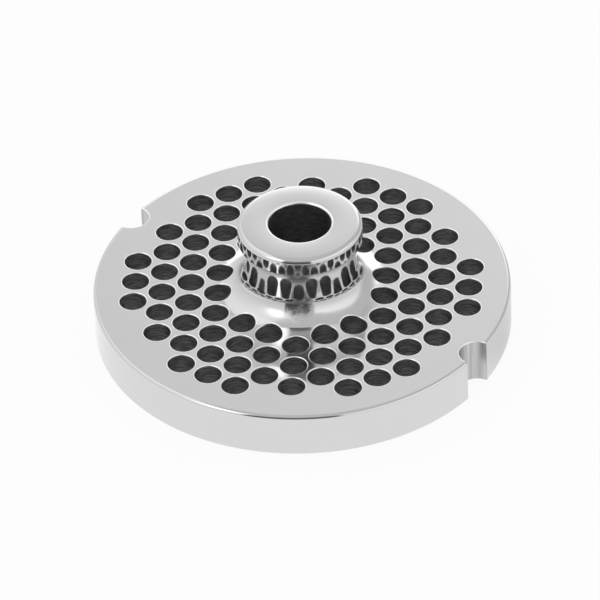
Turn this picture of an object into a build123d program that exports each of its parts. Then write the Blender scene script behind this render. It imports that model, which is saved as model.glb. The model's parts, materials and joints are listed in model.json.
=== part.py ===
from build123d import *
import math
import os

# A hub plate for a meat grinder, turned, drilled and ground from one piece of stainless steel.
# It lies on its flat cutting face. The origin is at the middle of that face, and +Z points up the hub.
# All sizes are in millimetres.

# Disc, with a broken edge all round at its top and at its cutting face
plate_diameter = 70.0
plate_thickness = 8.0
rim_top_rounding = 0.6
rim_bottom_rounding = 0.5

# Hub on the outer side: a neck with a hollow flank that sweeps out into the disc, and a collar above it
hub_height = 13.2  # above the disc
collar_diameter = 20.9
collar_band = 3.15  # from the collar's lower edge to the top of the hub
collar_rounding = 0.9
collar_overhang = 1.1  # how far the collar stands out over the waist of the neck
flank_rounding = 11.7
foot_rounding = 3.8
tail_rounding = 7.5  # where the foot runs out level on the disc
tail_slope = 20.0  # how steep the foot is where its tail begins, in degrees

# Bore that the worm's stud turns in, open at both ends
bore_diameter = 10.5
bore_chamfer = 0.3

# Meat holes on a triangular grid, drilled straight through
hole_diameter = 4.5
hole_pitch = 5.385
rim_land = 3.5  # least metal between a hole and the rim
drill_clearance = 1.0  # least gap between a hole and the collar above it

# Two round-bottomed notches in the rim, opposite each other, for the barrel's locating pin
notch_count = 2
notch_width = 5.8
notch_depth = 3.2

plate_radius = plate_diameter / 2
collar_radius = collar_diameter / 2
bore_radius = bore_diameter / 2
hole_radius = hole_diameter / 2
notch_radius = notch_width / 2
hub_top = plate_thickness + hub_height

# The flank is one hollow arc from the waist up to the collar's lower edge, and runs on below the waist.
neck_radius = collar_radius - collar_overhang
flank_rise = math.sqrt(2 * flank_rounding * collar_overhang - collar_overhang**2)
waist_height = hub_height - collar_band - flank_rise
flank_centre = (neck_radius + flank_rounding, plate_thickness + waist_height)
flank_top_angle = 180 - math.degrees(math.asin(flank_rise / flank_rounding))

# The foot is a tighter hollow arc that meets the flank smoothly. Its tail is a wider one that leaves level
# on the disc. The line through the centres of the two runs through the point where they meet.
tail_shift = tail_rounding - foot_rounding
tail_turn = math.radians(tail_slope)
foot_height = tail_rounding - tail_shift * math.cos(tail_turn)
centre_rise = waist_height - foot_height
centre_gap = math.sqrt((flank_rounding - foot_rounding) ** 2 - centre_rise**2)
foot_centre = (flank_centre[0] - centre_gap, plate_thickness + foot_height)
tail_centre = (foot_centre[0] + tail_shift * math.sin(tail_turn), plate_thickness + tail_rounding)
tail_angle = 270 - tail_slope
join_angle = 180 + math.degrees(math.atan2(centre_rise, centre_gap))

# A grid point carries a hole where the drill clears the collar and leaves the land at the rim.
row_spacing = hole_pitch * math.sqrt(3) / 2
nearest_hole = collar_radius + drill_clearance + hole_radius
furthest_hole = plate_radius - rim_land - hole_radius
grid_reach = math.ceil(furthest_hole / row_spacing)
grid_steps = range(-grid_reach, grid_reach + 1)
grid_points = [(hole_pitch * (i + j / 2), row_spacing * j) for i in grid_steps for j in grid_steps]
hole_points = [point for point in grid_points if nearest_hole <= math.hypot(*point) <= furthest_hole]


with BuildPart() as grinder_plate:
    # Turned blank: disc, neck, collar and bore
    with BuildSketch(Plane.XZ) as half_section:
        with BuildLine():
            cutting_face = Line((bore_radius, 0), (plate_radius, 0))
            rim = Line(cutting_face @ 1, (plate_radius, plate_thickness))
            outer_face = Line(rim @ 1, (tail_centre[0], plate_thickness))
            tail = CenterArc(tail_centre, tail_rounding, 270, -tail_slope)
            foot = CenterArc(foot_centre, foot_rounding, tail_angle, join_angle - tail_angle)
            flank = CenterArc(flank_centre, flank_rounding, join_angle, flank_top_angle - join_angle)
            collar = Line(flank @ 1, (collar_radius, hub_top))
            hub_face = Line(collar @ 1, (bore_radius, hub_top))
            bore = Line(hub_face @ 1, cutting_face @ 0)
        make_face()
    revolve(axis=Axis.Z)

    # Broken edges
    circles = grinder_plate.edges().filter_by(GeomType.CIRCLE)
    rim_edges = circles.filter_by(lambda edge: edge.radius > plate_radius - 1e-3).sort_by(Axis.Z)
    bore_edges = circles.filter_by(lambda edge: edge.radius < bore_radius + 1e-3)
    collar_edge = circles.filter_by(lambda edge: abs(edge.radius - collar_radius) < 1e-3).sort_by(Axis.Z)[-1]
    fillet(rim_edges[-1], rim_top_rounding)
    fillet(rim_edges[0], rim_bottom_rounding)
    fillet(collar_edge, collar_rounding)
    chamfer(bore_edges, bore_chamfer)

    # Meat holes, from the cutting face up through the foot of the neck where it reaches over them
    with BuildSketch():
        with Locations(*hole_points):
            Circle(hole_radius)
    extrude(amount=hub_top, mode=Mode.SUBTRACT)

    # Locating notches, each a half circle that opens straight out through the rim
    with BuildSketch():
        with PolarLocations(plate_radius - notch_depth + notch_radius, notch_count):
            Circle(notch_radius)
            Rectangle(notch_width, notch_width, align=(Align.MIN, Align.CENTER))
    extrude(amount=plate_thickness, mode=Mode.SUBTRACT)


os.makedirs("parts", exist_ok=True)
grinder_plate.part.label = "grinder_plate"
export_step(grinder_plate.part, "parts/grinder_plate.step")
print("meat holes:", len(hole_points))
print("waist height:", round(waist_height, 2), "foot radius:", round(tail_centre[0], 2))
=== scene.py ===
import json

import bpy
import numpy as np
from mathutils import Matrix, Vector
from mathutils.geometry import delaunay_2d_cdt


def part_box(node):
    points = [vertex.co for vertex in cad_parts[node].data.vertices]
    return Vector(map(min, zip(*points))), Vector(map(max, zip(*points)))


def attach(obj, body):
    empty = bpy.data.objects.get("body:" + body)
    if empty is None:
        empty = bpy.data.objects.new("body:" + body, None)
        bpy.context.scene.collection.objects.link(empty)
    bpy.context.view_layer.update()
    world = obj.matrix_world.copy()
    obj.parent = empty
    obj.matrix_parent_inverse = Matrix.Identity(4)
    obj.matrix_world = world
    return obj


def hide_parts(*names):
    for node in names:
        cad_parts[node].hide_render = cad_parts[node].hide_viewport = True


# A grinder plate of stainless steel, turned, drilled and ground from one piece, on a pale studio floor.
# Sizes below are in millimetres and angles in degrees. The scene is in metres.
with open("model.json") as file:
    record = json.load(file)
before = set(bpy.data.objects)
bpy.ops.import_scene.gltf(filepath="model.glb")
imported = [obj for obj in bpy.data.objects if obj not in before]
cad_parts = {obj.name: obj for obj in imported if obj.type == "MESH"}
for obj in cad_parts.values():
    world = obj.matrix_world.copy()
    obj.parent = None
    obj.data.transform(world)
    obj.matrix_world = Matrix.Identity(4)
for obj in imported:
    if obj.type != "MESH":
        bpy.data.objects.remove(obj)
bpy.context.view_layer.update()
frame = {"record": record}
mm = 0.001
mountSizes = {mount["name"]: mount["dims"] for mount in frame["record"]["mounts"]}
print("frame loaded")


# Sheets of points

sheets = {"points": [], "normals": [], "faces": [], "finishes": []}
# The last finish is the broken edges, drawn near white as a painted highlight along them.
polished, drilled, bored, milled, deburredWithHighlight = 0, 1, 2, 3, 4  # the finishes, as material slots of the plate


# Keeps a sheet of points with their normals and gives back its point numbers, in the sheet's own shape.
def keepSheet(points, normals):
    start = sum(len(kept) for kept in sheets["points"])
    sheets["points"].append(points.reshape(-1, 3))
    sheets["normals"].append(normals.reshape(-1, 3))
    return start + np.arange(points[..., 0].size).reshape(points.shape[:-1])


# Keeps triangles with their finish, which is one for them all or one for each.
def keepFaces(corners, finish):
    sheets["faces"].append(corners.reshape(-1, 3))
    sheets["finishes"].append(np.broadcast_to(finish, corners.shape[:-1]).ravel())


# Triangles between neighbouring rows of a sheet whose rows are closed rings, two for each cell of the grid.
def joinRings(rows, finish):
    here, ahead = rows[..., :-1, :], np.roll(rows, -1, axis=-1)[..., :-1, :]
    above, aboveAhead = rows[..., 1:, :], np.roll(rows, -1, axis=-1)[..., 1:, :]
    keepFaces(np.stack([here, ahead, aboveAhead], axis=-1), finish)
    keepFaces(np.stack([here, aboveAhead, above], axis=-1), finish)


# Even steps of angle round a full circle.
def fullTurn(segments):
    return np.linspace(0, 2 * np.pi, segments, endpoint=False)


# A quarter-round edge in even steps of tilt. The tilt is the normal's angle above the level. A point lies
# in from the wall by the rounding times 1 - cos(tilt), and back from the face by it times 1 - sin(tilt).
def roundedEdge(steps, startTilt, endTilt):
    tilt = np.radians(np.linspace(startTilt, endTilt, steps + 1))
    return 1 - np.cos(tilt), 1 - np.abs(np.sin(tilt)), tilt


# Disc and rim

disc = {
    "radius": mountSizes["rim"]["r_mm"],
    "thickness": 8.0,
    "topRounding": 0.6,
    "bottomRounding": 0.5,
    "roundingSteps": 6,
    "rimSteps": 300,  # along each half of the rim
}

notch = {
    "width": 5.8,
    "depth": 3.2,
    "edgeBreak": 0.15,
    "cornerRounding": 0.15,  # of the upright edges where a notch meets the rim
    "cornerSteps": 5,
    "notchSteps": 36,
}


# The disc's outline as rings, one for each pair of insets. A ring is a circle about the axis, smaller than
# the disc by rimInset. Each notch is a circle about its own centre, wider by notchInset. Small arcs round
# the corners where these circles meet. Their centres lie where two wider and narrower circles cross.
def outlineRings(rimInset, notchInset):
    rounding = notch["cornerRounding"]
    notchRadius = notch["width"] / 2 + notchInset[:, None]
    notchCentre = disc["radius"] - notch["depth"] + notch["width"] / 2
    rimRadius = disc["radius"] - rimInset[:, None]
    outer, inner = rimRadius - rounding, notchRadius + rounding
    cornerX = (outer**2 - inner**2 + notchCentre**2) / (2 * notchCentre)
    cornerY = np.sqrt(outer**2 - cornerX**2)
    swing = np.arctan2(cornerY, cornerX)
    facing = np.arctan2(cornerY, notchCentre - cornerX)
    cornerShare, notchShare, rimShare = (
        np.linspace(0, 1, steps, endpoint=False)[None, :]
        for steps in (notch["cornerSteps"], notch["notchSteps"], disc["rimSteps"])
    )
    lowerAngle = -swing + (facing + swing) * cornerShare
    notchAngle = facing - 2 * facing * notchShare
    upperAngle = -facing + (facing + swing) * cornerShare
    rimAngle = swing + (np.pi - 2 * swing) * rimShare
    x = np.hstack([
        cornerX + rounding * np.cos(lowerAngle),
        notchCentre - notchRadius * np.cos(notchAngle),
        cornerX + rounding * np.cos(upperAngle),
        rimRadius * np.cos(rimAngle),
    ])
    y = np.hstack([
        -cornerY + rounding * np.sin(lowerAngle),
        -notchRadius * np.sin(notchAngle),
        cornerY + rounding * np.sin(upperAngle),
        rimRadius * np.sin(rimAngle),
    ])
    normalAngle = np.hstack([lowerAngle, notchAngle, upperAngle, rimAngle])
    ease = cornerShare[0] ** 2 * (3 - 2 * cornerShare[0])
    inNotch = np.hstack([ease, np.ones(notch["notchSteps"]), 1 - ease, np.zeros(disc["rimSteps"])])
    return (
        np.hstack([x, -x]),
        np.hstack([y, -y]),
        np.hstack([normalAngle, normalAngle + np.pi]),
        np.hstack([inNotch, inNotch]),
    )


# The wall all round: the lower rounding, the wall itself and the upper rounding, which narrow in the notches.
# There the wall is as the cutter left it, and its upper edge is a broken edge, drawn near white as a painted
# highlight along it.
def makeRim():
    steps = disc["roundingSteps"]
    lowIn, lowDrop, lowTilt = roundedEdge(steps, -90, 0)
    topIn, topDrop, topTilt = roundedEdge(steps, 0, 90)
    rimInset = np.hstack([disc["bottomRounding"] * lowIn, disc["topRounding"] * topIn])
    notchInset = notch["edgeBreak"] * np.hstack([lowIn, topIn])
    x, y, normalAngle, inNotch = outlineRings(rimInset, notchInset)
    lowSize = disc["bottomRounding"] + (notch["edgeBreak"] - disc["bottomRounding"]) * inNotch
    topSize = disc["topRounding"] + (notch["edgeBreak"] - disc["topRounding"]) * inNotch
    z = np.vstack([np.outer(lowDrop, lowSize), disc["thickness"] - np.outer(topDrop, topSize)])
    tilt = np.hstack([lowTilt, topTilt])[:, None]
    normals = np.stack([
        np.cos(tilt) * np.cos(normalAngle),
        np.cos(tilt) * np.sin(normalAngle),
        np.sin(tilt) + 0 * x,
    ], axis=-1)
    rows = keepSheet(np.stack([x, y, z], axis=-1), normals)
    mostlyNotch = inNotch > 0.5
    joinRings(rows[:steps + 2], np.where(mostlyNotch, milled, polished))
    joinRings(rows[steps + 1:], np.where(mostlyNotch, deburredWithHighlight, polished))
    return rows


# Hub

hub = {
    "top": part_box("grinder_plate")[1].z / mm,
    "collarRadius": 10.45,
    "collarRounding": 0.9,
    "faceCrown": 2.1,  # how far the hub's face leans out, in degrees, where the collar's rounding starts
    "faceCrownWidth": 2.3,  # from there in to where the face is level
    "collarEdgeBreak": 0.15,  # under the collar, where it meets the flank
    "collarOverhang": 1.1,
    "waistHeight": 5.03,  # above the disc
    "flankRounding": 15.0,  # at the waist, where the neck is nearly straight
    "shoulderRounding": 10.3,  # higher up, under the collar
    "shoulderHeight": 6.68,  # above the disc
    "collarCrown": 0.6,  # how far the band leans in at each of its edges, in degrees
    "footRounding": 4.33,
    "tailRounding": 8.3,
    "tailSlope": 14.6,
    "boreRadius": mountSizes["bore"]["r_mm"],
    "boreBreak": 0.38,
    "skirtRadius": 11.5,  # where the turned neck's rings end and the drilled sheet starts
    "footSteps": 14,
    "flankSteps": 10,
    "shoulderSteps": 18,
    "edgeBreakSteps": 4,
    "bandSteps": 6,
    "roundingSteps": 10,
    "faceSteps": 10,
    "boreBreakSteps": 6,
    "segments": 240,
}

# The flank is a wide hollow arc at the waist, and a tighter one, the shoulder, from there up to the collar.
# The foot is a tighter one still, and the foot's tail a wider one that leaves level on the disc. Each meets
# the next smoothly: the centres of the two lie on one line through the point where they meet.
flankCentre = (
    hub["collarRadius"] - hub["collarOverhang"] + hub["flankRounding"],
    disc["thickness"] + hub["waistHeight"],
)
shoulderTurn = np.arcsin((hub["shoulderHeight"] - hub["waistHeight"]) / hub["flankRounding"])
shoulderShift = hub["flankRounding"] - hub["shoulderRounding"]
shoulderCentre = (
    flankCentre[0] - shoulderShift * np.cos(shoulderTurn),
    flankCentre[1] + shoulderShift * np.sin(shoulderTurn),
)
tailTurn = np.radians(hub["tailSlope"])
tailShift = hub["tailRounding"] - hub["footRounding"]
tailBase = disc["thickness"] + hub["tailRounding"]
footBase = tailBase - tailShift * np.cos(tailTurn)
centreRise = flankCentre[1] - footBase
centreGap = np.sqrt((hub["flankRounding"] - hub["footRounding"]) ** 2 - centreRise**2)
footCentre = (flankCentre[0] - centreGap, footBase)
tailCentre = (footCentre[0] + tailShift * np.sin(tailTurn), tailBase)
tailStart = tailCentre[0] - hub["tailRounding"] * np.sin(tailTurn)


# How high the outer face lies at a distance from the axis, and the outward share of its normal: level past
# the tail's centre, on the tail's arc inside it, and on the foot's arc nearer the axis. On an arc it lies
# below the centre by the root of the rounding squared less the distance from the centre squared.
def faceForm(radius):
    onTail = radius > tailStart
    rounding = np.where(onTail, hub["tailRounding"], hub["footRounding"])
    inside = np.where(onTail, np.clip(tailCentre[0] - radius, 0, None), footCentre[0] - radius)
    base = np.where(onTail, tailCentre[1], footCentre[1])
    return base - np.sqrt(rounding**2 - inside**2), inside / rounding


# The height alone, at points given across the disc.
def faceHeight(x, y):
    return faceForm(np.hypot(x, y))[0]


# The face's normal: its outward share along the radius, and up whatever makes its length 1.
def faceNormal(x, y):
    radius = np.hypot(x, y)
    outward = faceForm(radius)[1]
    return np.stack([outward * x / radius, outward * y / radius, np.sqrt(1 - outward**2)], axis=-1)


# An arc of the half section. Its normals point out from the centre on a rounded edge and in on a hollow one.
def sectionArc(centre, rounding, start, end, steps, hollow=False):
    angle = np.linspace(start, end, steps + 1)
    across, up = np.cos(angle), np.sin(angle)
    sign = -1 if hollow else 1
    radius, height = centre[0] + rounding * across, centre[1] + rounding * up
    return np.stack([radius, height, sign * across, sign * up], axis=-1)


# The collar's band between two heights: an upright line whose normals swing evenly from the crown's angle
# below the level to the same angle above it. A real crown would stand out by less than 0.01 mm.
def crownedBand(low, high):
    share = np.linspace(0, 1, hub["bandSteps"] + 1)[1:]
    lean = np.radians(hub["collarCrown"]) * (2 * share - 1)
    radius = hub["collarRadius"] + 0 * share
    return np.stack([radius, low + (high - low) * share, np.cos(lean), np.sin(lean)], axis=-1)


# The collar's upper edge, the hub's face and the bore's upper edge: a round, a very wide arc that is level
# some way in from the collar, and a small round. Where two of them meet they have the same normal, so their
# centres lie on one line through that point.
def hubFace(collar, top):
    edge, small, crown = hub["collarRounding"], hub["boreBreak"], np.radians(hub["faceCrown"])
    wide = hub["faceCrownWidth"] / np.sin(crown)
    bore = hub["boreRadius"] + small
    roundCentre = (collar - edge, top - wide + (wide - edge) * np.cos(crown))
    wideCentre = (roundCentre[0] - (wide - edge) * np.sin(crown), top - wide)
    inward = np.arcsin((wideCentre[0] - bore) / (wide - small))
    smallCentre = (bore, wideCentre[1] + (wide - small) * np.cos(inward))
    return (
        sectionArc(roundCentre, edge, 0, np.pi / 2 - crown, hub["roundingSteps"])[1:],
        sectionArc(wideCentre, wide, np.pi / 2 - crown, np.pi / 2 + inward, hub["faceSteps"])[1:],
        sectionArc(smallCentre, small, np.pi / 2 + inward, np.pi, hub["boreBreakSteps"])[1:],
    )


# The half section from the skirt up the foot and flank and over the collar and the face to the bore, and on
# its own the bore's lower edge.
def hubSection():
    collar, top, edge = hub["collarRadius"], hub["top"], hub["collarEdgeBreak"]
    join, meet = np.pi + np.arctan2(centreRise, centreGap), np.pi - shoulderTurn
    skirt = 2 * np.pi - np.arccos((hub["skirtRadius"] - footCentre[0]) / hub["footRounding"])
    breakReach, breakGap = hub["shoulderRounding"] + edge, shoulderCentre[0] - collar + edge
    breakCentre = (collar - edge, shoulderCentre[1] + np.sqrt(breakReach**2 - breakGap**2))
    lean = np.arctan2(breakCentre[1] - shoulderCentre[1], breakCentre[0] - shoulderCentre[0])
    small = hub["boreBreak"]
    outside = np.vstack([
        sectionArc(footCentre, hub["footRounding"], skirt, join, hub["footSteps"], hollow=True)[:-1],
        sectionArc(flankCentre, hub["flankRounding"], join, meet, hub["flankSteps"], hollow=True)[:-1],
        sectionArc(shoulderCentre, hub["shoulderRounding"], meet, lean, hub["shoulderSteps"], hollow=True),
        sectionArc(breakCentre, edge, lean - np.pi, 0, hub["edgeBreakSteps"])[1:],
        crownedBand(breakCentre[1], top - hub["collarRounding"]),
        *hubFace(collar, top),
    ])
    lowerCentre = (hub["boreRadius"] + small, small)
    inside = sectionArc(lowerCentre, small, np.pi, 1.5 * np.pi, hub["boreBreakSteps"])
    return outside, inside


# The half section turned round the axis, with the bore's wall between its two parts.
def makeHub():
    outside, inside = hubSection()
    section = np.vstack([outside, inside])
    turn = fullTurn(hub["segments"])
    radius, height, across, up = (section[:, i][:, None] for i in range(4))
    flat = np.zeros((1, hub["segments"]))
    points = np.stack([radius * np.cos(turn), radius * np.sin(turn), height + flat], axis=-1)
    normals = np.stack([across * np.cos(turn), across * np.sin(turn), up + flat], axis=-1)
    rows = keepSheet(points, normals)
    wall = len(outside)
    edge = wall - 1 - hub["boreBreakSteps"]
    joinRings(rows[:edge + 1], polished)
    # The bore's two broken edges are drawn near white, a painted highlight round them.
    joinRings(rows[edge:wall], deburredWithHighlight)
    joinRings(rows[wall - 1:wall + 1], bored)
    joinRings(rows[wall:], deburredWithHighlight)
    return rows


# Meat holes

meatHoles = {
    "diameter": 4.5,
    "pitch": 5.385,
    "rimLand": 3.5,
    "drillClearance": 1.0,
    "topBreak": 0.18,
    "bottomBreak": 0.08,
    "topSteps": 3,
    "bottomSteps": 2,
    "segments": 48,
}


# Grid points i + j/2 along and j rows up, kept where a drill clears the collar and leaves the land at the
# rim. The grid has enough rows and columns to reach the furthest hole.
def holeCentres():
    radius, pitch = meatHoles["diameter"] / 2, meatHoles["pitch"]
    nearest = hub["collarRadius"] + meatHoles["drillClearance"] + radius
    furthest = disc["radius"] - meatHoles["rimLand"] - radius
    rowSpacing = pitch * np.sqrt(0.75)
    gridReach = np.ceil(furthest / rowSpacing)
    steps = np.arange(-gridReach, gridReach + 1)
    i, j = np.meshgrid(steps, steps)
    x, y = pitch * (i + j / 2), rowSpacing * j
    distance = np.hypot(x, y)
    kept = (distance >= nearest) & (distance <= furthest)
    return np.stack([x[kept], y[kept]], axis=-1)


# Every hole at once: rings down from the outer face, over a broken edge, down the wall and over the lower
# edge. Near the hub the upper rings ride up the foot of the neck with the face that they are drilled through.
def makeHoles(centres):
    turn = fullTurn(meatHoles["segments"])
    topIn, topDrop, topTilt = roundedEdge(meatHoles["topSteps"], 90, 0)
    lowIn, lowDrop, lowTilt = roundedEdge(meatHoles["bottomSteps"], 0, -90)
    widths = np.hstack([meatHoles["topBreak"] * topIn, meatHoles["bottomBreak"] * lowIn])
    radius = (meatHoles["diameter"] / 2 + widths)[None, :, None]
    x = centres[:, 0][:, None, None] + radius * np.cos(turn)
    y = centres[:, 1][:, None, None] + radius * np.sin(turn)
    lip = faceHeight(x[:, :1], y[:, :1])
    upper = lip - meatHoles["topBreak"] * topDrop[None, :, None]
    lower = meatHoles["bottomBreak"] * lowDrop[None, :, None] + 0 * lip
    tilt = np.hstack([topTilt, lowTilt])[None, :, None]
    faceSide = faceNormal(x[:, :1], y[:, :1])
    downSide = np.array([0, 0, -1.0])
    face = np.where((tilt >= 0)[..., None], faceSide, downSide)
    inward = np.stack([-np.cos(turn), -np.sin(turn), 0 * turn], axis=-1)
    normals = np.cos(tilt)[..., None] * inward + np.abs(np.sin(tilt))[..., None] * face
    normals /= np.linalg.norm(normals, axis=-1, keepdims=True)
    rows = keepSheet(np.stack([x, y, np.concatenate([upper, lower], axis=1)], axis=-1), normals)
    wall = meatHoles["topSteps"]
    # The holes' broken edges are drawn near white, a painted highlight round them.
    joinRings(rows[:, :wall + 1], deburredWithHighlight)
    joinRings(rows[:, wall:wall + 2], drilled)
    joinRings(rows[:, wall + 1:], deburredWithHighlight)
    return rows


# Faces between the rings

footGrid = {
    "spacing": 0.25,
    "overrun": 0.3,  # how far the points go past the foot, onto the level face
    "holeGap": 0.12,  # from a hole's outermost ring
}


# Extra points on the curved foot of the neck, on circles between the skirt and the level face, clear of the
# holes.
def footPoints(centres):
    first, last = hub["skirtRadius"] + footGrid["spacing"], tailCentre[0] + footGrid["overrun"]
    radii = np.arange(first, last, footGrid["spacing"])
    turn = fullTurn(hub["segments"])
    x = (radii[:, None] * np.cos(turn)).ravel()
    y = (radii[:, None] * np.sin(turn)).ravel()
    clear = meatHoles["diameter"] / 2 + meatHoles["topBreak"] + footGrid["holeGap"]
    gaps = np.hypot(x[:, None] - centres[:, 0], y[:, None] - centres[:, 1])
    kept = gaps.min(axis=1) > clear
    x, y = x[kept], y[kept]
    return keepSheet(np.stack([x, y, faceHeight(x, y)], axis=-1), faceNormal(x, y))


# Fills the face between its outer ring, the ring about the axis and the rings of the holes with triangles.
# Triangles whose middle lies in a hole or inside the central ring are left out, and the others are turned to
# face up where facing is 1, and down where it is -1.
def fillFace(outerRing, centralRing, holeRings, loose, centres, edgeBreak, facing):
    points = np.concatenate(sheets["points"])
    rings = [outerRing, centralRing, *holeRings]
    numbers = np.concatenate([*rings, loose])
    starts = np.cumsum([0] + [len(ring) for ring in rings])
    edges = [
        (start + k, start + (k + 1) % len(ring))
        for start, ring in zip(starts, rings)
        for k in range(len(ring))
    ]
    flat = [Vector(point) for point in points[numbers, :2].tolist()]
    insideEdges, leastGap = 1, 1e-7
    triangles, sources = delaunay_2d_cdt(flat, edges, [], insideEdges, leastGap)[2:4]
    corners = numbers[np.array([source[0] for source in sources])[np.array(triangles)]]
    middle = points[corners, :2].mean(axis=1)
    gaps = np.hypot(middle[:, None, 0] - centres[:, 0], middle[:, None, 1] - centres[:, 1])
    centralRadius = np.hypot(*points[centralRing[0], :2])
    outsideHoles = gaps.min(axis=1) > meatHoles["diameter"] / 2 + edgeBreak
    kept = outsideHoles & (np.hypot(*middle.T) > centralRadius)
    corners = corners[kept]
    a, b, c = (points[corners[:, i], :2] for i in range(3))
    turnsLeft = np.cross(b - a, c - a) > 0
    corners = np.where((turnsLeft == (facing > 0))[:, None], corners, corners[:, ::-1])
    keepFaces(corners, polished)


# The plate as one closed mesh: the wall of the rim, the hub, the holes, and the two faces between them.
def makePlate(finishes):
    rim = makeRim()
    neck = makeHub()
    centres = holeCentres()
    holes = makeHoles(centres)
    foot = footPoints(centres)
    nothing = np.zeros(0, dtype=int)
    fillFace(rim[-1], neck[0], list(holes[:, 0]), foot, centres, meatHoles["topBreak"], 1)
    fillFace(rim[0], neck[-1], list(holes[:, -1]), nothing, centres, meatHoles["bottomBreak"], -1)
    corners = np.concatenate(sheets["faces"]).astype(np.int32)
    points = np.concatenate(sheets["points"]) * mm
    mesh = bpy.data.meshes.new("turned_plate")
    mesh.vertices.add(len(points))
    mesh.vertices.foreach_set("co", points.astype(np.float32).ravel())
    mesh.loops.add(corners.size)
    mesh.loops.foreach_set("vertex_index", corners.ravel())
    mesh.polygons.add(len(corners))
    mesh.polygons.foreach_set("loop_start", np.arange(0, corners.size, 3, dtype=np.int32))
    for finish in finishes:
        mesh.materials.append(finish)
    mesh.polygons.foreach_set("material_index", np.concatenate(sheets["finishes"]).astype(np.int32))
    mesh.update(calc_edges=True)
    mesh.validate()
    mesh.shade_smooth()
    mesh.normals_split_custom_set_from_vertices(np.concatenate(sheets["normals"]).tolist())
    piece = bpy.data.objects.new("turned_plate", mesh)
    bpy.context.scene.collection.objects.link(piece)
    print("plate:", len(centres), "holes,", len(corners), "triangles")
    return piece


# Materials

# Adds a node. An input is a value or another node's socket, and the settings are the node's own.
def addNode(tree, kind, inputs=None, **settings):
    node = tree.nodes.new(kind)
    for name, value in settings.items():
        setattr(node, name, value)
    for socket, value in (inputs or {}).items():
        if isinstance(value, bpy.types.NodeSocket):
            tree.links.new(value, node.inputs[socket])
        else:
            node.inputs[socket].default_value = value
    return node


# An sRGB hex colour as the linear values that the shaders take, by the formula of the sRGB standard.
def linearColour(hexColour):
    shares = [int(hexColour[i:i + 2], 16) / 255 for i in (1, 3, 5)]
    return [s / 12.92 if s <= 0.04045 else ((s + 0.055) / 1.055) ** 2.4 for s in shares] + [1.0]


# A material with no nodes yet, and its tree.
def newMaterial(name):
    material = bpy.data.materials.new(name)
    material.use_nodes = True
    material.node_tree.nodes.clear()
    return material, material.node_tree


# What every finish ends in: bare metal, with a grain whose height from 0 to 1 stands for a depth in
# millimetres.
def finishSteel(tree, colour, roughness, height, depth):
    bump = addNode(tree, "ShaderNodeBump", {"Height": height, "Distance": depth * mm})
    shader = addNode(tree, "ShaderNodeBsdfPrincipled", {
        "Base Color": colour,
        "Metallic": 1.0,
        "Roughness": roughness,
        "Normal": bump.outputs["Normal"],
    })
    addNode(tree, "ShaderNodeOutputMaterial", {"Surface": shader.outputs["BSDF"]})


polishedSteel = {
    "colour": "#D6D6D7",
    "roughness": 0.09,
    "roughnessSpread": 0.025,
    "hazeSize": 6.0,  # of the places that the buff left a little clearer or duller
    "hazeBounds": (0.3, 0.7),  # of the noise, where it is clearest and dullest
    "ringSpacing": 0.28,  # between the faint marks of turning, drawn coarser than they are
    "ringDepth": 0.0006,
    "footRoughness": 0.17,  # more than elsewhere, in the hollow of the foot that the buff hardly reached
    "footBand": (0.5, 0.8, 1.5, 2.2),  # above the disc: where it begins, is full, is full still and ends
    "patchMiddle": (5.6, -8.3, 10.2),  # of a worn patch on the foot of the neck, uneven and duller in spots
    "patchReach": (2.7, 1.89),  # from its middle: where it ends, and where it is full
    "mottleSize": 1.2,
    "mottleBounds": (0.3, 0.75),  # of the noise, where a spot begins and is full
    "mottleDepth": 0.03,
    "mottleRoughness": 0.4,  # of a spot, more than the steel around it
}


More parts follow.
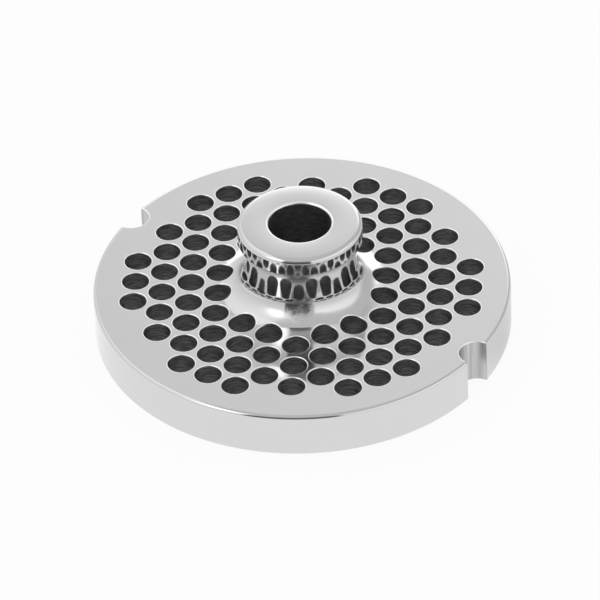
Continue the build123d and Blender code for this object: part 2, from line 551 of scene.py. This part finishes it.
# Stainless steel, turned and then polished on a buff: a clear mirror, with faint marks of turning left round
# the axis and slow changes in its clearness. The hollow of the foot is duller, and one patch low on the neck
# is dented and spotted by wear.
def polishedStainlessSteel():
    material, tree = newMaterial("polished_stainless_steel")
    place = addNode(tree, "ShaderNodeTexCoord")
    across = addNode(tree, "ShaderNodeVectorMath", {
        0: place.outputs["Object"], 1: (1, 1, 0),
    }, operation="MULTIPLY")
    radius = addNode(tree, "ShaderNodeVectorMath", {0: across.outputs["Vector"]}, operation="LENGTH")
    axes = addNode(tree, "ShaderNodeSeparateXYZ", {0: place.outputs["Object"]})
    section = addNode(tree, "ShaderNodeCombineXYZ", {"X": radius.outputs["Value"], "Y": axes.outputs["Z"]})
    rings = addNode(tree, "ShaderNodeTexNoise", {
        "Vector": section.outputs["Vector"],
        "Scale": 1 / (polishedSteel["ringSpacing"] * mm),
        "Detail": 2.0,
    }, noise_dimensions="2D")
    haze = addNode(tree, "ShaderNodeTexNoise", {
        "Vector": place.outputs["Object"],
        "Scale": 1 / (polishedSteel["hazeSize"] * mm),
        "Detail": 3.0,
    })
    mottle = addNode(tree, "ShaderNodeTexNoise", {
        "Vector": place.outputs["Object"],
        "Scale": 1 / (polishedSteel["mottleSize"] * mm),
        "Detail": 2.0,
    })
    fromPatch = addNode(tree, "ShaderNodeVectorMath", {
        0: place.outputs["Object"],
        1: [coordinate * mm for coordinate in polishedSteel["patchMiddle"]],
    }, operation="DISTANCE")
    patch = addNode(tree, "ShaderNodeMapRange", {
        "Value": fromPatch.outputs["Value"],
        "From Min": polishedSteel["patchReach"][0] * mm,
        "From Max": polishedSteel["patchReach"][1] * mm,
    }, interpolation_type="SMOOTHSTEP")
    start, full, last, end = (disc["thickness"] * mm + height * mm for height in polishedSteel["footBand"])
    aboveTail = addNode(tree, "ShaderNodeMapRange", {
        "Value": axes.outputs["Z"], "From Min": start, "From Max": full,
    }, interpolation_type="SMOOTHSTEP")
    belowNeck = addNode(tree, "ShaderNodeMapRange", {
        "Value": axes.outputs["Z"], "From Min": end, "From Max": last,
    }, interpolation_type="SMOOTHSTEP")
    foot = addNode(tree, "ShaderNodeMath", {
        0: aboveTail.outputs["Result"], 1: belowNeck.outputs["Result"],
    }, operation="MULTIPLY")
    dents = addNode(tree, "ShaderNodeMath", {
        0: mottle.outputs["Fac"], 1: patch.outputs["Result"],
    }, operation="MULTIPLY")
    height = addNode(tree, "ShaderNodeMath", {
        0: rings.outputs["Fac"],
        1: polishedSteel["ringDepth"] / polishedSteel["mottleDepth"],
        2: dents.outputs[0],
    }, operation="MULTIPLY_ADD")
    clearness = addNode(tree, "ShaderNodeMapRange", {
        "Value": haze.outputs["Fac"],
        "From Min": polishedSteel["hazeBounds"][0],
        "From Max": polishedSteel["hazeBounds"][1],
        "To Min": polishedSteel["roughness"] - polishedSteel["roughnessSpread"],
        "To Max": polishedSteel["roughness"] + polishedSteel["roughnessSpread"],
    })
    dullFoot = addNode(tree, "ShaderNodeMath", {
        0: foot.outputs[0], 1: polishedSteel["footRoughness"], 2: clearness.outputs["Result"],
    }, operation="MULTIPLY_ADD")
    spots = addNode(tree, "ShaderNodeMapRange", {
        "Value": mottle.outputs["Fac"],
        "From Min": polishedSteel["mottleBounds"][0],
        "From Max": polishedSteel["mottleBounds"][1],
        "To Max": polishedSteel["mottleRoughness"],
    }, interpolation_type="SMOOTHSTEP")
    roughness = addNode(tree, "ShaderNodeMath", {
        0: patch.outputs["Result"], 1: spots.outputs["Result"], 2: dullFoot.outputs[0],
    }, operation="MULTIPLY_ADD")
    colour = linearColour(polishedSteel["colour"])
    finishSteel(tree, colour, roughness.outputs[0], height.outputs[0], polishedSteel["mottleDepth"])
    return material


drilledSteel = {
    "light": "#EEEEEE",
    "dark": "#B0B0B1",
    "roughness": 0.3,
    "markWidth": 0.22,  # of the rings that the drill left round the wall, drawn wider than they are
    "markLength": 2.0,
    "markBounds": (0.35, 0.65),  # of the noise, where the steel is darkest and lightest
    "markDepth": 0.02,
}

boredSteel = {
    "light": "#C4C4C5",
    "dark": "#A2A2A3",
    "roughness": 0.35,
    "markWidth": 0.3,  # of the marks that the boring tool left, drawn wider than they are
    "markLength": 1.2,
    "markBounds": (0.35, 0.65),
    "markDepth": 0.01,
}


# Stainless steel as a drill or a boring tool left it: grey and half dull, with uneven darker marks round the
# wall. A Mix node's colours are its inputs 6 and 7 and its output 2.
def cutStainlessSteel(name, cut):
    material, tree = newMaterial(name)
    place = addNode(tree, "ShaderNodeTexCoord")
    stretch = cut["markWidth"] / cut["markLength"]
    stretched = addNode(tree, "ShaderNodeMapping", {
        "Vector": place.outputs["Object"], "Scale": (stretch, stretch, 1),
    })
    marks = addNode(tree, "ShaderNodeTexNoise", {
        "Vector": stretched.outputs["Vector"],
        "Scale": 1 / (cut["markWidth"] * mm),
        "Detail": 3.0,
    })
    shade = addNode(tree, "ShaderNodeMapRange", {
        "Value": marks.outputs["Fac"],
        "From Min": cut["markBounds"][0],
        "From Max": cut["markBounds"][1],
    }, interpolation_type="SMOOTHSTEP")
    colour = addNode(tree, "ShaderNodeMix", {
        "Factor": shade.outputs["Result"],
        6: linearColour(cut["dark"]),
        7: linearColour(cut["light"]),
    }, data_type="RGBA")
    finishSteel(tree, colour.outputs[2], cut["roughness"], marks.outputs["Fac"], cut["markDepth"])
    return material


deburredSteelWithHighlight = {
    # near white, brighter than the rest of the steel: a painted highlight along the edges
    "colour": "#FCFCFC",
    "roughness": 0.3,
    "grainSize": 0.12,  # drawn coarser than it is
    "grainDepth": 0.01,
}


# Stainless steel where a sharp edge was broken by hand, with a fine grain. Its near-white colour, brighter
# than the steel about it, is a painted highlight along the broken edges.
def deburredSteelPaintedHighlight():
    material, tree = newMaterial("deburred_steel_painted_highlight")
    place = addNode(tree, "ShaderNodeTexCoord")
    grain = addNode(tree, "ShaderNodeTexNoise", {
        "Vector": place.outputs["Object"],
        "Scale": 1 / (deburredSteelWithHighlight["grainSize"] * mm),
        "Detail": 1.0,
    })
    colour = linearColour(deburredSteelWithHighlight["colour"])
    finishSteel(tree, colour, deburredSteelWithHighlight["roughness"], grain.outputs["Fac"], deburredSteelWithHighlight["grainDepth"])
    return material


milledSteel = {
    "light": "#DDDDDD",
    "dark": "#919192",
    "roughness": 0.27,
    "streakWidth": 0.25,  # of the marks that the cutter left down the wall, drawn wider than they are
    "streakLength": 12.0,
    "streakDepth": 0.006,
}


# Stainless steel as the milling cutter left it in the notches: half dull, with streaks down the wall.
def milledStainlessSteel():
    material, tree = newMaterial("milled_stainless_steel")
    place = addNode(tree, "ShaderNodeTexCoord")
    squashed = addNode(tree, "ShaderNodeMapping", {
        "Vector": place.outputs["Object"],
        "Scale": (1, 1, milledSteel["streakWidth"] / milledSteel["streakLength"]),
    })
    streaks = addNode(tree, "ShaderNodeTexNoise", {
        "Vector": squashed.outputs["Vector"],
        "Scale": 1 / (milledSteel["streakWidth"] * mm),
        "Detail": 2.0,
    })
    colour = addNode(tree, "ShaderNodeMix", {
        "Factor": streaks.outputs["Fac"],
        6: linearColour(milledSteel["dark"]),
        7: linearColour(milledSteel["light"]),
    }, data_type="RGBA")
    finishSteel(
        tree, colour.outputs[2], milledSteel["roughness"], streaks.outputs["Fac"], milledSteel["streakDepth"]
    )
    return material


# Studio

photoView = {
    "azimuth": 34.96,
    "elevation": 38.80,
    "roll": 2.116,
    "distance": 1219.9,
    "lens": 436.8,
    "sensor": 36.0,
    "aimRight": -0.318,  # of the middle of the disc's outer face, in the picture's own directions
    "aimDown": 2.698,
    "clipEnd": 10000.0,
}


# The camera stands off from the middle of the disc's outer face, its azimuth round from -Y and its elevation
# up from the level, and is turned by its roll. Right and up are the picture's own directions, and back points
# from it to the eye.
def makeCamera():
    azimuth, elevation, roll = (np.radians(photoView[name]) for name in ("azimuth", "elevation", "roll"))
    back = np.array([
        np.sin(azimuth) * np.cos(elevation), -np.cos(azimuth) * np.cos(elevation), np.sin(elevation)
    ])
    level = np.array([np.cos(azimuth), np.sin(azimuth), 0.0])
    upright = np.cross(back, level)
    right = np.cos(roll) * level - np.sin(roll) * upright
    up = np.cos(roll) * upright + np.sin(roll) * level
    middle = np.array([0, 0, disc["thickness"]])
    aim = middle + photoView["aimRight"] * right - photoView["aimDown"] * up
    place = (aim + photoView["distance"] * back) * mm
    camera = bpy.data.objects.new("camera", bpy.data.cameras.new("camera"))
    camera.matrix_world = Matrix([*np.stack([right, up, back, place], axis=1).tolist(), (0, 0, 0, 1)])
    camera.data.lens = photoView["lens"]
    camera.data.sensor_width = photoView["sensor"]
    camera.data.clip_end = photoView["clipEnd"] * mm
    bpy.context.scene.collection.objects.link(camera)
    bpy.context.scene.camera = camera
    print("camera placed")


# The studio about the plate. A panel is an upright sheet of card far away, and azimuth is the way it lies, 0
# towards the camera and 90 to its right. Its edges are given as tangents: left and right along it, low and
# top above the level, and lean says how much further its right edge reaches at the level than at its top.
# Its brightness goes evenly with the sine of the elevation, from lower at the level to upper at its top.
studio = {
    "overhead": 0.68,  # the light of every direction that no panel covers
    "panels": [
        {"name": "right back", "azimuth": 134, "left": -0.45, "right": 0.45, "low": -3.0, "top": 3.0,
         "lean": 0.0, "soft": 0.05, "lower": 0.60, "upper": 0.67},
        {"name": "backdrop's spill", "azimuth": 166, "left": -0.3, "right": 0.3, "low": 0.5, "top": 1.2,
         "lean": 0.0, "soft": 0.2, "lower": 3.05, "upper": 0.5},
        {"name": "backdrop", "azimuth": 173.5, "left": -0.34, "right": 0.34, "low": -3.0, "top": 0.7,
         "lean": 0.0, "soft": 0.05, "lower": 1.6, "upper": 1.5},
        {"name": "left wall", "azimuth": -105, "left": -1.9, "right": 3.2, "low": -3.0, "top": 2.75,
         "lean": 0.0, "soft": 0.08, "lower": 0.77, "upper": 1.17},
        {"name": "right wall", "azimuth": 65, "left": -1.11, "right": 0.62, "low": -3.0, "top": 0.966,
         "lean": 1.05, "soft": 0.04, "lower": 0.80, "upper": 1.33},
        {"name": "key light", "azimuth": -49, "left": -0.26, "right": 0.2, "low": 0.55, "top": 1.35,
         "lean": 0.0, "soft": 0.22, "lower": 2.1, "upper": 2.5},
        {"name": "front above", "azimuth": -7.5, "left": -0.435, "right": 0.435, "low": -3.0, "top": 1.02,
         "lean": 0.0, "soft": 0.05, "lower": 0.27, "upper": 0.27},
        {"name": "front below", "azimuth": -7.5, "left": -0.435, "right": 0.435, "low": -3.0, "top": 0.67,
         "lean": 0.0, "soft": 0.05, "lower": 0.08, "upper": 0.22},
    ],
    "floorColour": "#F4F4F4",
    "floorWhite": 0.92,  # how far the board shows as plain white to the camera
    "shadeAzimuth": 140,  # behind the plate on the right the board is a little darker in the steel
    "shadeStart": 4.0,  # from the axis, to where it begins and to where it is full
    "shadeEnd": 18.0,
    "shadeKeeps": 0.5,  # how much of the white is left there
    "floorReach": 3000.0,  # from the axis to the board's sides and back edge
    "floorFront": 80.0,  # from the axis to the board's straight front edge, just outside the picture
    "shadeRadius": 31.6,  # inside this the board lies in the plate's own shade
}


# Lays one panel over the light of the panels so far. In the panel's own frame a direction's tangents are its
# sideways and upward parts over its forward part, and the panel covers those between its soft edges.
def layPanel(tree, direction, panel, light):
    turned = addNode(tree, "ShaderNodeMapping", {
        "Vector": direction.outputs["Generated"],
        "Rotation": (0, 0, -np.radians(photoView["azimuth"] + panel["azimuth"])),
    })
    axes = addNode(tree, "ShaderNodeSeparateXYZ", {0: turned.outputs["Vector"]})
    ahead = addNode(tree, "ShaderNodeMath", {0: axes.outputs["Y"], 1: -1.0}, operation="MULTIPLY")
    aside = addNode(tree, "ShaderNodeMath", {0: axes.outputs["X"], 1: ahead.outputs[0]}, operation="DIVIDE")
    above = addNode(tree, "ShaderNodeMath", {0: axes.outputs["Z"], 1: ahead.outputs[0]}, operation="DIVIDE")
    fromTop = addNode(tree, "ShaderNodeMath", {0: above.outputs[0], 1: panel["top"]}, operation="SUBTRACT")
    leaning = addNode(tree, "ShaderNodeMath", {
        0: fromTop.outputs[0], 1: panel["lean"], 2: aside.outputs[0],
    }, operation="MULTIPLY_ADD")
    share = addNode(tree, "ShaderNodeMath", {0: ahead.outputs[0], 1: 0.0}, operation="GREATER_THAN")
    edges = [
        (aside, panel["left"], 1),
        (leaning, panel["right"], -1),
        (above, panel["low"], 1),
        (above, panel["top"], -1),
    ]
    for place, edge, inwards in edges:
        within = addNode(tree, "ShaderNodeMapRange", {
            "Value": place.outputs[0],
            "From Min": edge - inwards * panel["soft"],
            "From Max": edge + inwards * panel["soft"],
        }, interpolation_type="SMOOTHSTEP")
        share = addNode(tree, "ShaderNodeMath", {
            0: share.outputs[0], 1: within.outputs["Result"],
        }, operation="MULTIPLY")
    bright = addNode(tree, "ShaderNodeMapRange", {
        "Value": axes.outputs["Z"],
        "From Max": np.sin(np.arctan(panel["top"])),
        "To Min": panel["lower"],
        "To Max": panel["upper"],
    })
    covered = addNode(tree, "ShaderNodeMix", {
        "Factor": share.outputs[0], "A": light, "B": bright.outputs["Result"],
    }, data_type="FLOAT", label=panel["name"])
    return covered.outputs["Result"]


# The panels light the plate, and the camera sees plain white behind it.
def makeWorld():
    world = bpy.data.worlds.new("studio")
    bpy.context.scene.world = world
    world.use_nodes = True
    tree = world.node_tree
    tree.nodes.clear()
    direction = addNode(tree, "ShaderNodeTexCoord")
    light = studio["overhead"]
    for panel in studio["panels"]:
        light = layPanel(tree, direction, panel, light)
    lit = addNode(tree, "ShaderNodeBackground", {"Color": light})
    white = addNode(tree, "ShaderNodeBackground", {"Color": (1, 1, 1, 1)})
    rays = addNode(tree, "ShaderNodeLightPath")
    seen = addNode(tree, "ShaderNodeMixShader", {
        0: rays.outputs["Is Camera Ray"], 1: lit.outputs[0], 2: white.outputs[0],
    })
    addNode(tree, "ShaderNodeOutputWorld", {"Surface": seen.outputs[0]})
    print("studio lit")


# Pale painted board. To the camera and in the steel it shows mostly as white, and still takes the shadow.
# Under the plate, where the board shows only through the holes, it is plain board.
def makeFloor():
    material, tree = newMaterial("pale_board")
    matte = addNode(tree, "ShaderNodeBsdfDiffuse", {"Color": linearColour(studio["floorColour"])})
    white = addNode(tree, "ShaderNodeEmission", {"Strength": 1.0})
    place = addNode(tree, "ShaderNodeTexCoord")
    reach = addNode(tree, "ShaderNodeVectorMath", {0: place.outputs["Object"]}, operation="LENGTH")
    clear = addNode(tree, "ShaderNodeMath", {
        0: reach.outputs["Value"], 1: studio["shadeRadius"] * mm,
    }, operation="GREATER_THAN")
    rays = addNode(tree, "ShaderNodeLightPath")
    azimuth = np.radians(photoView["azimuth"] + studio["shadeAzimuth"])
    along = addNode(tree, "ShaderNodeVectorMath", {
        0: place.outputs["Object"], 1: (np.sin(azimuth), -np.cos(azimuth), 0),
    }, operation="DOT_PRODUCT")
    shaded = addNode(tree, "ShaderNodeMapRange", {
        "Value": along.outputs["Value"],
        "From Min": studio["shadeStart"] * mm,
        "From Max": studio["shadeEnd"] * mm,
        "To Min": 1.0,
        "To Max": studio["shadeKeeps"],
    }, interpolation_type="SMOOTHSTEP")
    inSteel = addNode(tree, "ShaderNodeMath", {
        0: rays.outputs["Is Glossy Ray"], 1: shaded.outputs["Result"],
    }, operation="MULTIPLY")
    direct = addNode(tree, "ShaderNodeMath", {
        0: rays.outputs["Is Camera Ray"], 1: studio["floorWhite"], 2: inSteel.outputs[0],
    }, operation="MULTIPLY_ADD")
    share = addNode(tree, "ShaderNodeMath", {0: direct.outputs[0], 1: clear.outputs[0]}, operation="MULTIPLY")
    surface = addNode(tree, "ShaderNodeMixShader", {
        0: share.outputs[0], 1: matte.outputs[0], 2: white.outputs[0],
    })
    addNode(tree, "ShaderNodeOutputMaterial", {"Surface": surface.outputs[0]})
    side, front = studio["floorReach"] * mm, studio["floorFront"] * mm
    azimuth = np.radians(photoView["azimuth"])
    level = np.array([np.cos(azimuth), np.sin(azimuth), 0])
    towards = np.array([np.sin(azimuth), -np.cos(azimuth), 0])
    mesh = bpy.data.meshes.new("floor")
    mesh.from_pydata([
        -side * level + front * towards, side * level + front * towards,
        side * level - side * towards, -side * level - side * towards,
    ], [], [(0, 1, 2, 3)])
    mesh.materials.append(material)
    floor = bpy.data.objects.new("floor", mesh)
    bpy.context.scene.collection.objects.link(floor)
    print("floor laid")


piece = makePlate([
    polishedStainlessSteel(),
    cutStainlessSteel("drilled_stainless_steel", drilledSteel),
    cutStainlessSteel("bored_stainless_steel", boredSteel),
    milledStainlessSteel(),
    deburredSteelPaintedHighlight(),
])
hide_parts("grinder_plate")
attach(piece, "root")
makeFloor()
makeWorld()
makeCamera()
bpy.context.scene.view_settings.view_transform = "Standard"
